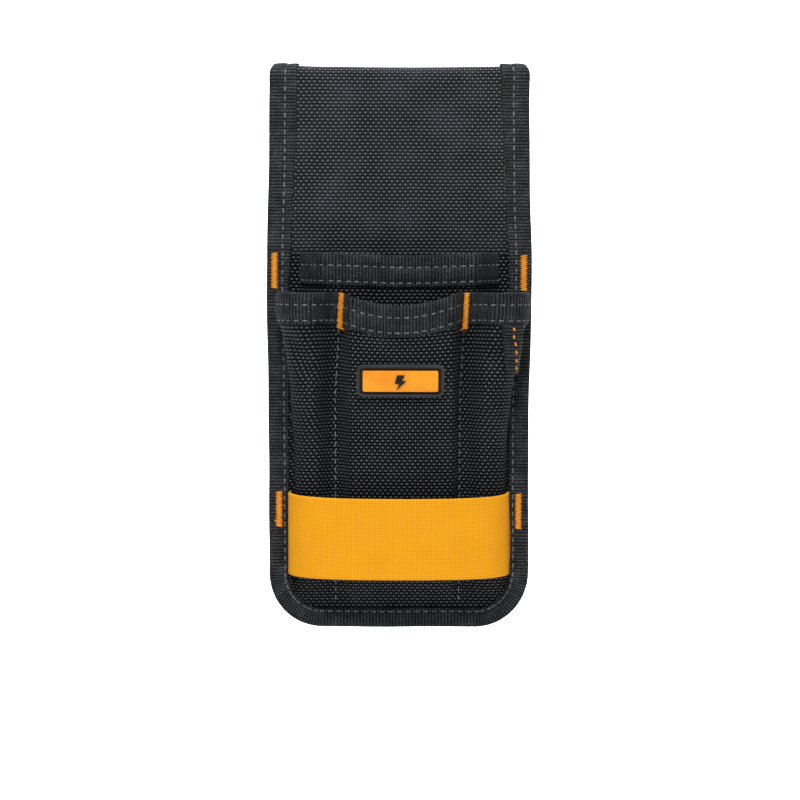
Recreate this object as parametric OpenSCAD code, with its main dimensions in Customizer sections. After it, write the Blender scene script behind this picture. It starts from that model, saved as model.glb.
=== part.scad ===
// Electrician's tool pouch that hangs on a belt: a stiffened back with a folded belt flap, a
// rear pocket for pliers, one pleated front pocket that makes two sleeves and a centre pocket,
// and a webbing strap for a tape measure's clip. The front faces -Y and the wearer's hip is at
// +Y. The origin is the middle of the belt tunnel.

/* [Back] */
// Width of the pouch over its edge binding
panel_w = 120; // [100:1:144]
// Height of the pouch from the bottom to the top of the fold
panel_h = 260; // [235:1:300]
// Radius of the two bottom corners
corner_r = 25; // [15:1:30]
// Thickness of the sewn fabric layers
fabric_t = 1; // [0.8:0.1:1.2]
// Thickness of the plastic board inside the back
board_t = 1.2; // [0.8:0.1:2]

/* [Belt flap] */
// Depth of the tunnel that the belt goes through
belt_gap = 8; // [7:0.5:12]
// Length of the flap down the back
flap_len = 95; // [80:1:110]

/* [Binding tape] */
// Thickness of the woven tape
tape_t = 0.9; // [0.7:0.1:1.1]
// Width of the tape's front leg at the top
binding_top_w = 12; // [10:0.5:14]
// Width of the tape's front leg at the bottom
binding_low_w = 8; // [7:0.5:9]
// Height of the hem tape on the pockets
hem_h = 14; // [11:0.5:17]

/* [Pliers pocket] */
// Height of the rear pocket's top edge
pliers_h = 173; // [165:1:190]
// How far its front stands out from the back at the top
pliers_bulge = 17; // [14:0.5:20]
// Half the width of its flat front
pliers_half_w = 33.5; // [31:0.5:36]

/* [Front pocket] */
// Height of the front pocket's top edge at the sleeves
front_h = 155; // [145:1:160]
// How far the centre pocket stands out at the top
centre_bulge = 33; // [29:0.5:40]
// How far the sleeves stand out at the top
sleeve_bulge = 28; // [24:0.5:34]
// How far the centre hem dips below the sleeves
scoop = 6; // [3:0.5:8]
// Half-width of the centre pocket's flat front, left and right
centre_half = [22, 24.5];
// Distance of the divider seams from the middle, left and right
seam_x = [27.2, 29.5];
// How far the sleeves reach sideways at the top, left and right
sleeve_out = [55, 58.7];
// How far the sleeves reach sideways at the strap, left and right
sleeve_low = [46.6, 47.9];

/* [Strap and badge] */
// Height of the tape clip strap
strap_h = 38; // [31:1:44]
// Height of the strap's lower edge above the bottom
strap_z = 25; // [22:1:28]
// Thickness of the strap webbing
strap_t = 1.4; // [1.1:0.1:1.7]
// Width of the badge
badge_w = 39.7; // [32:0.1:41]
// Height of the badge
badge_h = 14.8; // [12:0.1:17]

/* [Hidden] */
$fn = 48;

charcoal = "#2b2d30";
tape_grey = "#33373a";
thread_grey = "#6a6d70";
orange = "#fdae1a";
black = "#17181a";

// Clearance between sewn layers that lie on each other
ease_gap = 0.05;
layer = fabric_t + ease_gap;
panel_t = 2 * layer + board_t;
half_w = panel_w / 2 - tape_t - ease_gap;
fabric_r = corner_r - tape_t - ease_gap;
fabric_z = tape_t + ease_gap;

// The fold: front face of the back to the rear face of the flap
fold_r = (panel_t + belt_gap + fabric_t) / 2;
fold_y = fold_r - panel_t;
fold_z = panel_h - fold_r - tape_t - ease_gap;
board_top = fold_z - 2;
flap_y = belt_gap + fabric_t;
flap_z = panel_h - flap_len;
flap_seat = 2 * (tape_t + ease_gap) + ease_gap + fabric_t;
flap_sewn_h = 8;
flap_ramp_h = 12;
belt_z = (flap_z + flap_sewn_h + flap_ramp_h + board_top) / 2;
belt_y = belt_gap / 2;

// Mid-surface depths of the pocket layers where they lie on the back
pliers_base = ease_gap + fabric_t / 2;
front_base = pliers_base + layer;
stack_front = front_base + fabric_t / 2 + ease_gap;
stack_strap = stack_front + strap_t + ease_gap;
// How far the pocket layers' edges lie inside the back's edge
edge_in = 1.6;
// Height up to which the pocket layers lie flat, and half the width of a divider's fold
flat_h = 12;
fold_half = 2.1;
tack_w = 2.8;
tack_h = 16.2;
tack_t = 0.8;

function lerp(a, b, t) = a + (b - a) * t;
function ease(t) = let (u = min(1, max(0, t))) u * u * (3 - 2 * u);
function unit(v) = v / norm(v);
function place_y(depth) = -panel_t - depth;

// Solid between a front and a back grid of points, rows upwards and columns towards +X
module sheet(front, back) {
  rows = len(front);
  cols = len(front[0]);
  n = rows * cols;
  a = function (k, i) k * cols + i;
  face = [for (k = [0:rows - 2], i = [0:cols - 2])
    each [[a(k, i), a(k + 1, i), a(k + 1, i + 1)], [a(k, i), a(k + 1, i + 1), a(k, i + 1)]]];
  rear = [for (f = face) [f[0] + n, f[2] + n, f[1] + n]];
  strip = function (p, q) [[p, q, q + n], [p, q + n, p + n]];
  low = [for (i = [0:cols - 2]) each strip(a(0, i), a(0, i + 1))];
  top = [for (i = [0:cols - 2]) each strip(a(rows - 1, i + 1), a(rows - 1, i))];
  left = [for (k = [0:rows - 2]) each strip(a(k + 1, 0), a(k, 0))];
  right = [for (k = [0:rows - 2]) each strip(a(k, cols - 1), a(k + 1, cols - 1))];
  points = concat([for (r = front) each r], [for (r = back) each r]);
  polyhedron(points, concat(face, rear, low, top, left, right), convexity = 10);
}

// Solid through a list of closed rings with the same number of points
module loft(rings) {
  n = len(rings[0]);
  last = (len(rings) - 1) * n;
  sides = [for (k = [0:len(rings) - 2], i = [0:n - 1])
    let (a = k * n + i, b = k * n + (i + 1) % n)
    each [[a, a + n, b + n], [a, b + n, b]]];
  caps = [[for (i = [0:n - 1]) i], [for (i = [n - 1:-1:0]) last + i]];
  polyhedron([for (r = rings) each r], concat(sides, caps), convexity = 10);
}

// Grid of points on the surface depth(x, z) in front of the back
function grid(xs, zs, depth) = [for (z = zs) [for (x = xs) [x, place_y(depth(x, z)), z]]];

module patch(xs, zs, depth, thick) {
  sheet(grid(xs, zs, function (x, z) depth(x, z) + thick), grid(xs, zs, depth));
}

// Mitred normals of a line of [x, depth, z] points, taken level and facing forwards
function level(v) = unit([v[0], v[1]]);
function turn(e) = [-e[1], e[0]];
function normal_at(line, i) =
  let (last = len(line) - 1)
  let (e1 = level(line[max(1, i)] - line[max(1, i) - 1]))
  let (e2 = level(line[min(last, i + 1)] - line[min(last, i + 1) - 1]))
  let (m = unit(turn(e1) + turn(e2)))
  m / max(0.7, m * turn(e1));
function offset_line(line, by) = [for (i = [0:len(line) - 1])
  let (m = normal_at(line, i) * by) line[i] + [m[0], m[1], 0]];
function to_world(line) = [for (p = line) [p[0], place_y(p[1]), p[2]]];

module cloth(lines, thick) {
  sheet([for (l = lines) to_world(offset_line(l, thick / 2))],
    [for (l = lines) to_world(offset_line(l, -thick / 2))]);
}

// Tape folded over the top edge of a cloth, given the cloth's top line and the line below it
module hem(top, low, first, last) {
  near = fabric_t / 2 + ease_gap;
  far = near + tape_t;
  back_part = 0.65;
  side = function (line, by) to_world(offset_line(line, by));
  back_line = [for (i = [0:len(top) - 1]) lerp(top[i], low[i], back_part)];
  up_near = [0, 0, ease_gap];
  up_far = [0, 0, ease_gap + tape_t];
  lines = [side(low, far), side(top, far), side(top, -far), side(back_line, -far),
    side(back_line, -near), side(top, -near), side(top, near), side(low, near)];
  lifts = [[0, 0, 0], up_far, up_far, [0, 0, 0], [0, 0, 0], up_near, up_near, [0, 0, 0]];
  loft([for (i = [last:-1:first]) [for (j = [0:7]) lines[j][i] + lifts[j]]]);
}

// Outline of the back in the XZ plane, inset from the fabric's edge
module outline(inset, top) {
  r = fabric_r - inset;
  w = half_w - inset;
  low = fabric_z + inset;
  translate([-w, low + r]) square([2 * w, top - low - r]);
  translate([-w + r, low]) square([2 * (w - r), r + 1]);
  for (side = [-1, 1]) translate([side * (w - r), low + r]) circle(r, $fn = 96);
}

module upright(y, thick) translate([0, y + thick, 0]) rotate([90, 0, 0]) linear_extrude(thick) children();

module along_x(length) translate([-length / 2, 0, 0]) rotate([90, 0, 90]) linear_extrude(length) children();

module place() translate([0, -belt_y, -belt_z]) children();

/* Back */

module back_panel() color(charcoal) place() {
  upright(-panel_t, fabric_t) outline(0, fold_z);
  along_x(2 * half_w) {
    translate([fold_y, fold_z]) intersection() {
      difference() {
        circle(fold_r, $fn = 64);
        circle(fold_r - fabric_t, $fn = 64);
      }
      translate([-2 * fold_r, 0]) square([4 * fold_r, 2 * fold_r]);
    }
    polygon([
      [flap_y, fold_z],
      [flap_y, flap_z + flap_sewn_h + flap_ramp_h],
      [flap_seat, flap_z + flap_sewn_h],
      [flap_seat, flap_z],
      [flap_seat - fabric_t, flap_z],
      [flap_seat - fabric_t, flap_z + flap_sewn_h],
      [flap_y - fabric_t, flap_z + flap_sewn_h + flap_ramp_h],
      [flap_y - fabric_t, fold_z]
    ]);
  }
}

module stiffener_board() color("dimgray") place() {
  upright(-layer - board_t, board_t) outline(0.5, board_top);
}

module back_lining() color(black) place() upright(-fabric_t, fabric_t) outline(0, board_top);

// U-shaped section of the binding: p on the front face at the fabric's edge, u inwards and n out
function tape_ring(p, u, n, leg, rise, drop) =
  let (out = u * (ease_gap + tape_t), in = u * ease_gap)
  [p + u * leg + n * (rise + tape_t), p - out + n * (rise + tape_t),
    p - out - n * (drop + tape_t), p + u * min(leg, 10) - n * (drop + tape_t),
    p + u * min(leg, 10) - n * drop, p - in - n * drop, p - in + n * rise, p + u * leg + n * rise];

// How far the binding's front leg stands off the back, over the pocket layers and the strap
function binding_rise(z) = lookup(z, [
  [strap_z - 7, stack_front], [strap_z - 1, stack_strap],
  [strap_z + strap_h + 1, stack_strap], [strap_z + strap_h + 7, stack_front],
  [pliers_h + 3, stack_front], [pliers_h + 13, ease_gap]]);
function binding_leg(z) = lookup(z, [
  [strap_z + strap_h, binding_low_w], [front_h, 9.7], [fold_z, binding_top_w]]);

// Stations of the tape along one side, from the flap's end over the fold to the bottom corner
function flap_stations(side) = [for (s = [
    [flap_seat, flap_z, 0], [flap_seat, flap_z + flap_sewn_h, 8],
    [flap_y, flap_z + flap_sewn_h + flap_ramp_h, 8], [flap_y, fold_z, 0]])
  tape_ring([side * half_w, s[0], s[1]], [-side, 0, 0], [0, cos(s[2]), sin(s[2]) * -1], 10,
    ease_gap, fabric_t + ease_gap)];
function fold_stations(side) = [for (turn_by = [12:12:168])
  tape_ring([side * half_w, fold_y + fold_r * cos(turn_by), fold_z + fold_r * sin(turn_by)],
    [-side, 0, 0], [0, cos(turn_by), sin(turn_by)], lerp(10, binding_top_w, turn_by / 180),
    ease_gap, fabric_t + ease_gap)];
function side_stations(side) = [for (z = [fold_z, board_top + 0.1, pliers_h + 13, pliers_h + 3,
      front_h, 105, strap_z + strap_h + 7, strap_z + strap_h + 1])
  tape_ring([side * half_w, -panel_t, z], [-side, 0, 0], [0, -1, 0], binding_leg(z),
    binding_rise(z), (z > board_top + 1 ? fabric_t : panel_t) + ease_gap)];
function corner_stations(side) = [for (turn_by = [0:6:90])
  let (u = [-side * cos(turn_by), 0, sin(turn_by)])
  let (c = [side * (half_w - fabric_r), -panel_t, fabric_z + fabric_r])
  let (p = c - u * fabric_r)
  tape_ring(p, u, [0, -1, 0], binding_low_w, binding_rise(p[2]), panel_t + ease_gap)];
function reversed(list) = [for (i = [len(list) - 1:-1:0]) list[i]];

module edge_binding() color(tape_grey) place() {
  side = function (s) concat(flap_stations(s), fold_stations(s), side_stations(s), corner_stations(s));
  loft(concat(side(-1), reversed(side(1))));
}

module flap_hem() color(tape_grey) place() along_x(2 * (half_w - 10.2)) {
  rear = flap_seat + ease_gap;
  front = flap_seat - fabric_t - ease_gap;
  low = flap_z - ease_gap;
  polygon([[rear, low], [rear, low + flap_sewn_h], [rear + tape_t, low + flap_sewn_h],
    [rear + tape_t, low - tape_t], [front - tape_t, low - tape_t],
    [front - tape_t, low + flap_sewn_h], [front, low + flap_sewn_h], [front, low]]);
}

module flap_tack(side) color(orange) place() {
  length = 12;
  y = flap_seat + 2 * ease_gap + tape_t;
  translate([side * (half_w - 1 - length / 2) - length / 2, y, flap_z + 2])
    cube([length, tack_t, tack_w]);
}
module flap_tack_left() flap_tack(-1);
module flap_tack_right() flap_tack(1);

/* Pliers pocket */

// Sideways squeeze of a pocket layer that keeps its edge inside the rounded bottom corners
function edge_x(z) = half_w - edge_in -
  (z < corner_r ? corner_r - sqrt(corner_r * corner_r - pow(corner_r - z, 2)) : 0);
function squeeze(x, z) =
  let (hold = half_w - 26, span = half_w - edge_in - hold)
  abs(x) < hold ? x : sign(x) * lerp(hold, edge_x(z), (abs(x) - hold) / span);

function sleeve_x(side, z) = lerp(sleeve_low[side], sleeve_out[side], lookup(z / front_h, [
  [0.40, 0], [0.56, 0.09], [0.68, 0.27], [0.78, 0.45], [0.88, 0.78], [0.93, 1]]));
// 1 where the layers lie flat, falling to 0 where the sleeves have risen
function flatness(z) = max(0, 1 - 12 * height_share(z, front_h));
// Where the front pocket comes out from under the binding
function root_at(side, z) =
  min(half_w - binding_leg(z) - 0.8, sleeve_x(side, z) + 0.7 + 2.5 * flatness(z));

// Share of a pocket's height above its flat bottom
function height_share(z, top) = max(0, (z - flat_h) / (top - flat_h));
function pliers_depth(z) = pliers_base + pliers_bulge * lookup(height_share(z, pliers_h), [
  [0, 0], [0.11, 0.22], [0.31, 0.38], [1, 1]]);
function pliers_half(side, z) =
  let (start = root_at(side, z) - 2)
  concat([[half_w - edge_in, pliers_base], [start + 3, pliers_base]],
    [for (s = [[0, 0], [0.2, 0.1], [0.45, 0.4], [0.7, 0.75], [0.88, 0.93], [1, 1]])
      [lerp(start, pliers_half_w, s[0]), lerp(pliers_base, pliers_depth(z), s[1])]],
    [[14, pliers_depth(z)]]);
function pliers_line(z) =
  let (left = pliers_half(0, z), right = pliers_half(1, z))
  [for (p = concat([for (p = left) [-p[0], p[1]]], reversed(right)))
    [squeeze(p[0], z), p[1], z]];
low_rows = [fabric_z + 1, flat_h, flat_h + 4, flat_h + 10, flat_h + 20];
pliers_rows = concat(low_rows, [46, 62, 80, 100, 125, pliers_h - hem_h,
  pliers_h - tape_t - ease_gap]);
pliers_lines = [for (z = pliers_rows) pliers_line(z)];

module pliers_pocket() color(charcoal) place() cloth(pliers_lines, fabric_t);

module pliers_hem() color(tape_grey) place() {
  last = len(pliers_rows) - 1;
  hem(pliers_lines[last], pliers_lines[last - 1], 4, len(pliers_lines[0]) - 5);
}

// Bar tack on the edge binding
module binding_tack(x, z) {
  patch([x - tack_w / 2, x + tack_w / 2], [z, z + tack_h],
    function (x, z) binding_rise(z) + tape_t + ease_gap, tack_t);
}
module pliers_tack_left() color(orange) place() binding_tack(-half_w + 2.9, pliers_h - 16.5);
module pliers_tack_right() color(orange) place() binding_tack(half_w - 2.9, pliers_h - 17.5);
module strap_tack_left() color(orange) place() {
  binding_tack(-half_w + 4, strap_z + strap_h - tack_h);
}
module strap_tack_right() color(orange) place() {
  binding_tack(half_w - 4, strap_z + strap_h - tack_h - 1);
}

/* Front pocket */

function front_rise(z, full, low) = front_base + full * lookup(height_share(z, front_h), [
  [0, 0], [0.12, 0.7 * low], [0.35, low], [1, 1]]);
function centre_depth(z) = front_rise(z, centre_bulge, 0.4);
function sleeve_depth(z) = front_rise(z, sleeve_bulge, 0.4);
function hem_room(z) = (ease_gap + tape_t) * ease((z - front_h + 2 * hem_h) / hem_h);
function seam_depth(z) = pliers_depth(z) + layer + hem_room(z);
function seam_at(side, z) = seam_x[side] + side * lookup(z / front_h, [[0.7, -1.3], [1, 1.2]]);

// Half of the pocket's level section, from its edge under the binding to the middle
function front_half(side, z) =
  let (out = sleeve_x(side, z) - 1.5 * flatness(z), root = root_at(side, z))
  let (deep = sleeve_depth(z))
  let (wall = root - 0.2 - 0.8 * flatness(z))
  let (seam = seam_at(side, z), low = seam_depth(z), apex = lerp(out, seam, 0.48))
  let (lift = front_base + min(2.25, 0.3 * (deep - front_base)))
  let (waist = lerp(lift, deep, 0.42), face = centre_depth(z))
  let (corner = min(1.4, 0.3 * (face - low)))
  concat([[half_w - edge_in, front_base], [root + 1.2, front_base], [root, front_base + 0.1],
      [wall, lift]],
    [for (t = [30:30:90]) [lerp(wall, out, sin(t)),
      lerp(lift, waist, pow(1 - cos(t), 0.7))]],
    [for (t = [30:30:90]) [lerp(out, apex, 1 - cos(t)), lerp(waist, deep, sin(t))]],
    [for (t = [45:45:135]) [lerp(apex, seam + fold_half, t / 180), lerp(low, deep, (1 + cos(t)) / 2)]],
    [[seam + fold_half, low], [seam - fold_half, low], [centre_half[side] + 0.6, face - corner],
      [centre_half[side] - 1.6, face], [10, face]]);
function front_dip(x) = scoop * max(0, 1 - x * x / (seam_x[0] * seam_x[0]));
function front_line(z, with_dip) =
  let (left = front_half(0, z), right = front_half(1, z))
  [for (p = concat([for (p = left) [-p[0], p[1]]], reversed(right)))
    [squeeze(p[0], z), p[1], z - with_dip * front_dip(p[0])]];
front_rows = concat(low_rows, [46, 62, 80, 96, 112, 126, front_h - hem_h,
  front_h - tape_t - ease_gap]);
front_lines = [for (z = front_rows) front_line(z, z >= front_h - hem_h ? 1 : 0)];
front_last = len(front_rows) - 1;
front_cols = len(front_lines[0]);

module front_pocket() color(charcoal) place() cloth(front_lines, fabric_t);

module front_hem() color(tape_grey) place() {
  hem(front_lines[front_last], front_lines[front_last - 1], 4, front_cols - 5);
}

module front_tack(side) color(orange) place() {
  sign_x = side == 0 ? -1 : 1;
  at = function (z) sign_x * seam_at(side, z);
  zs = [front_h - tack_h - 0.3, front_h - hem_h - 0.3, front_h - 0.3];
  rise = fabric_t / 2 + 2 * ease_gap + tape_t;
  wide = 1.2;
  row = function (z, by) [for (dx = [-wide, wide]) [at(z) + dx, place_y(seam_depth(z) + by), z]];
  sheet([for (z = zs) row(z, rise + tack_t)], [for (z = zs) row(z, rise)]);
}
module front_tack_left() front_tack(0);
module front_tack_right() front_tack(1);

// Raised line of thread down the bottom of the fold between a sleeve and the centre pocket
module divider_seam(side) color(thread_grey) place() {
  sign_x = side == 0 ? -1 : 1;
  zs = [for (z = front_rows) if (z > flat_h && z < front_h - hem_h - 2) z];
  rise = fabric_t / 2 + ease_gap;
  row = function (z, by) [for (dx = [-0.45, 0.45])
    [sign_x * seam_at(side, z) + dx, place_y(seam_depth(z) + by), z]];
  sheet([for (z = zs) row(z, rise + 0.5)], [for (z = zs) row(z, rise)]);
}
module left_divider_seam() divider_seam(0);
module right_divider_seam() divider_seam(1);

// Webbing tab that lies on the right sleeve below the hem
tab_cols = [for (i = [front_cols - 10:front_cols - 8]) i];
tab_lines = [for (z = [front_h - hem_h - 24, front_h - hem_h - 12, front_h - hem_h - 1])
  let (line = front_line(z, 0)) line];
function tab_side(by) = [for (l = tab_lines) let (o = to_world(offset_line(l, by)))
  [for (i = tab_cols) o[i]]];
tab_rise = fabric_t / 2 + ease_gap;

module side_tab() color(tape_grey) place() sheet(tab_side(tab_rise + 1.2), tab_side(tab_rise));

module tab_stitching() color(orange) place() {
  rise = tab_rise + 1.2;
  near = tab_side(rise);
  far = tab_side(rise + 0.5);
  between = function (g, u, v) lerp(lerp(g[0][0], g[0][1], u), lerp(g[2][0], g[2][1], u), v);
  for (k = [0:5]) {
    v = 0.06 + k * 0.16;
    u = 0.75 - k * 0.06;
    corner = function (g) [for (dv = [0, 0.09]) [for (du = [-0.12, 0.12]) between(g, u + du, v + dv)]];
    sheet(corner(far), corner(near));
  }
}

/* Strap and badge */

// Half of the strap's level section, from its end under the binding to the middle
strap_base = stack_front + strap_t / 2;
strap_out = half_w - binding_low_w - 1;
function strap_half(z) = [for (p = [
    [half_w - 2.2, 0], [strap_out + 0.3, 0], [strap_out, 1], [strap_out - 0.1, 5.6],
    [strap_out - 3.6, 11], [strap_out - 8, 14.4], [strap_out - 16, 17.2],
    [strap_out - 28, 19.2], [8, 19.8]])
  [p[0], strap_base + p[1], z]];
function strap_line(z) =
  let (half = strap_half(z))
  concat([for (p = half) [-p[0], p[1], p[2]]], reversed(half));

module tape_clip_strap() color(orange) place() {
  cloth([strap_line(strap_z), strap_line(strap_z + strap_h)], strap_t);
}

badge_z = 115.6;
badge_r = 3;
badge_t = 2;
badge_slope = atan2(centre_depth(badge_z + 8) - centre_depth(badge_z - 8), 16);

module badge_block(w, h, r, y, thick) {
  translate([0.7, place_y(centre_depth(badge_z) + fabric_t / 2 + ease_gap), badge_z])
    rotate([badge_slope, 0, 0]) translate([0, -y, 0]) rotate([90, 0, 0]) linear_extrude(thick) {
      square([w - 2 * r, h], center = true);
      square([w, h - 2 * r], center = true);
      for (sx = [-1, 1], sz = [-1, 1]) translate([sx * (w / 2 - r), sz * (h / 2 - r)]) circle(r);
    }
}

module badge_base() color(black) place() badge_block(badge_w, badge_h, badge_r, 0, badge_t);

module badge_plate() color(orange) place() {
  badge_block(badge_w - 5, badge_h - 5, badge_r / 2, badge_t + ease_gap, 0.8);
}

back_panel();
stiffener_board();
back_lining();
edge_binding();
flap_hem();
flap_tack_left();
flap_tack_right();
pliers_pocket();
pliers_hem();
pliers_tack_left();
pliers_tack_right();
front_pocket();
front_hem();
front_tack_left();
front_tack_right();
left_divider_seam();
right_divider_seam();
tape_clip_strap();
strap_tack_left();
strap_tack_right();
side_tab();
tab_stitching();
badge_base();
badge_plate();
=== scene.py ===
"""Electrician's tool pouch: every sewn piece of the pouch, in the order it is put together."""

import math

import bpy
import numpy as np
from mathutils import Matrix, Vector


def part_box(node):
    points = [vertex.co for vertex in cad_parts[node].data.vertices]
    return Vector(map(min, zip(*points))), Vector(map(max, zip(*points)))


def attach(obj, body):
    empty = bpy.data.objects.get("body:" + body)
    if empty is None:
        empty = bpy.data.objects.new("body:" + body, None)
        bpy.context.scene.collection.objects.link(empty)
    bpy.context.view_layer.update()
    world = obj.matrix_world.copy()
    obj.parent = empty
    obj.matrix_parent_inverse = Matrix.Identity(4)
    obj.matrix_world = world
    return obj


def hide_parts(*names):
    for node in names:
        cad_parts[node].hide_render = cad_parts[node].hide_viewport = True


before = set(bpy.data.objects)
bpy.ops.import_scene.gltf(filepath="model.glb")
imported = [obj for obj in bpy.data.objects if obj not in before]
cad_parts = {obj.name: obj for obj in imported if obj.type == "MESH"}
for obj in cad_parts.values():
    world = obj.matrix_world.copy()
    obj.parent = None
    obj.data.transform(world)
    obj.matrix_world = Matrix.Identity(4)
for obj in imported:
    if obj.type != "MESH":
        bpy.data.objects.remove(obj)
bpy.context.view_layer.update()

# ------------------------------------------------------------------ The view
# A plain studio: the pouch hangs in front of a pale sweep, as on a belt hook, lit by a broad
# soft key from the upper left, a weaker fill from the right and a strip from above.

MM = 0.001
front_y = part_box("back_panel")[0].y
bottom_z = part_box("edge_binding")[0].z

view_height = 105 * MM
view_width = 369 * MM
camera_distance = 1.3
camera_tilt = math.radians(3.0)
camera_roll = math.radians(0.1)
target = Vector((0.5 * MM, front_y, bottom_z + view_height))
camera_data = bpy.data.cameras.new("camera")
camera_data.sensor_width = 36
camera_data.lens = 36 * camera_distance / view_width
camera = bpy.data.objects.new("camera", camera_data)
bpy.context.scene.collection.objects.link(camera)
away = Vector((0, -math.cos(camera_tilt), math.sin(camera_tilt)))
camera.location = target + away * camera_distance
turn_to_target = (-away).to_track_quat("-Z", "Y").to_matrix()
camera.rotation_euler = (turn_to_target @ Matrix.Rotation(camera_roll, 3, "Z")).to_euler()
bpy.context.scene.camera = camera
bpy.context.scene.view_settings.view_transform = "Standard"


def deselect():
    bpy.ops.object.select_all(action="DESELECT")


def hex_colour(text, alpha=1.0):
    """An sRGB hex colour as the linear values that a shader takes."""
    parts = [int(text[i:i + 2], 16) / 255 for i in (1, 3, 5)]
    linear = [c / 12.92 if c <= 0.04045 else ((c + 0.055) / 1.055) ** 2.4 for c in parts]
    return (*linear, alpha)


def add_node(tree, kind, inputs=None, stops=(), **settings):
    """Adds a node with its settings. An input is a value, or a node or socket to link from, and
    stops are a colour ramp's (position, hex colour) pairs."""
    node = tree.nodes.new("ShaderNode" + kind)
    for key, value in settings.items():
        setattr(node, key, value)
    for key, value in (inputs or {}).items():
        if isinstance(value, bpy.types.Node):
            value = value.outputs[0]
        if isinstance(value, bpy.types.NodeSocket):
            tree.links.new(value, node.inputs[key])
        else:
            node.inputs[key].default_value = value
    if stops:
        ramp = node.color_ramp.elements
        ramp.remove(ramp[1])
        ramp[0].position, ramp[0].color = stops[0][0], hex_colour(stops[0][1])
        for position, colour in stops[1:]:
            ramp.new(position).color = hex_colour(colour)
    return node


def blank_material(name):
    material = bpy.data.materials.new(name)
    material.use_nodes = True
    material.node_tree.nodes.clear()
    return material, material.node_tree


# Painted studio sweep: matt white paint, faintly uneven from the roller.
paint, tree = blank_material("studio_white_paint")
where = add_node(tree, "TexCoord")
mottle = add_node(tree, "TexNoise", {"Vector": where.outputs["Object"], "Scale": 6.0})
tint = add_node(tree, "MapRange", {
    "Value": mottle.outputs["Fac"], "To Min": 0.86, "To Max": 0.9})
surface = add_node(tree, "BsdfPrincipled", {
    "Base Color": tint.outputs["Result"], "Roughness": 0.9})
add_node(tree, "OutputMaterial", {"Surface": surface.outputs["BSDF"]})

floor_z = bottom_z - 0.16
deselect()
bpy.ops.mesh.primitive_plane_add(size=6, location=(0, 0, floor_z))
floor = bpy.context.object
floor.name = "studio_floor"
bpy.ops.object.mode_set(mode="EDIT")
bpy.ops.mesh.select_all(action="DESELECT")
bpy.ops.object.mode_set(mode="OBJECT")
for edge in floor.data.edges:
    ends = [floor.data.vertices[i].co for i in edge.vertices]
    edge.select = all(end.y > 2.9 for end in ends)
bpy.ops.object.mode_set(mode="EDIT")
bpy.ops.mesh.select_mode(type="EDGE")
bpy.ops.mesh.extrude_region_move(TRANSFORM_OT_translate={"value": (0, 0, 3.5)})
bpy.ops.object.mode_set(mode="OBJECT")
bend = floor.modifiers.new("sweep", "BEVEL")
bend.width = 1.2
bend.segments = 12
bpy.ops.object.modifier_apply(modifier="sweep")
bpy.ops.object.shade_smooth()
bpy.ops.object.transform_apply(location=True)
floor.data.materials.append(paint)

# The surroundings light the pouch only a little, and look as pale as the sweep
world = bpy.data.worlds.new("studio")
world.use_nodes = True
world.node_tree.nodes.clear()
seen = add_node(world.node_tree, "LightPath").outputs["Is Camera Ray"]
glow = add_node(world.node_tree, "MapRange", {"Value": seen, "To Min": 0.15, "To Max": 0.9})
air = add_node(world.node_tree, "Background", {
    "Color": (1, 1, 1, 1), "Strength": glow.outputs["Result"]})
add_node(world.node_tree, "OutputWorld", {"Surface": air.outputs["Background"]})
bpy.context.scene.world = world


def area_light(name, place_at, aim, size, power):
    data = bpy.data.lights.new(name, "AREA")
    data.shape = "RECTANGLE"
    data.size, data.size_y = size
    data.energy = power
    light = bpy.data.objects.new(name, data)
    bpy.context.scene.collection.objects.link(light)
    light.location = place_at
    light.rotation_euler = (Vector(aim) - Vector(place_at)).to_track_quat("-Z", "Y").to_euler()


area_light("key", (-0.2, -1.05, 1.1), (0, 0, -0.08), (0.4, 0.4), 18.5)
area_light("fill", (0.9, -1.1, 0.2), (0, 0, -0.08), (0.5, 0.9), 1.2)
area_light("top", (0.0, -0.3, 0.5), (0, 0, 0.0), (0.6, 0.25), 2.5)
area_light("sweep_light", (0, 1.2, 1.4), (0, 2.8, 0.2), (2.5, 1.0), 120)
area_light("floor_light", (0, 0.9, 1.3), (0, 1.0, -0.4), (2.5, 0.5), 30)


# ---------------------------------------------------------------- Back panel
# The pouch's back is faced with ballistic nylon, a heavy plain weave of thick bright yarns.
# The same piece folds over the top and comes down behind as the flap that the belt goes
# through. It is sewn to the back at its lower end.

ROOT = "root"
FABRIC = 1.0
rest_gap = 0.05  # each layer lies this far off the one under it
half_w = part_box("back_panel")[1].x / MM
panel_t = 3.3
fold_r = (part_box("back_panel")[1].y - front_y) / MM / 2
fold_z = (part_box("back_panel")[1].z - bottom_z) / MM - fold_r
corner_r = 24.05
fabric_z = 0.95
flap_z = (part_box("flap_hem")[0].z - bottom_z) / MM + 0.95
flap_seat = panel_t + 2.95
flap_sewn_h = 8
flap_ramp_h = 12


def place(points):
    """Bench millimetres to the frame: y is 0 on the back's front face, z is 0 at the bottom."""
    return np.asarray(points, float) * MM + np.array([0, front_y, bottom_z])


def unit(v):
    return v / np.maximum(np.linalg.norm(v, axis=-1, keepdims=True), 1e-9)


def surface_normals(grid):
    """Outward normals of a grid of points: columns go to the right and rows upwards."""
    across = np.gradient(grid, axis=1)
    up = np.gradient(grid, axis=0)
    return unit(np.cross(across, up))


def run_length(points, axis):
    steps = np.linalg.norm(np.diff(points, axis=axis), axis=-1)
    return np.concatenate([np.zeros_like(np.take(steps, [0], axis)), np.cumsum(steps, axis)], axis)


def cloth_lengths(grid):
    """How far along the cloth each point of a grid is, in metres: the weave follows this."""
    across = run_length(grid, 1)
    middle = grid.shape[1] // 2
    across = across - across[:, middle:middle + 1]
    up = np.repeat(run_length(grid, 0)[:, middle:middle + 1], grid.shape[1], axis=1)
    return np.stack([across, up], axis=-1) * MM


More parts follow.
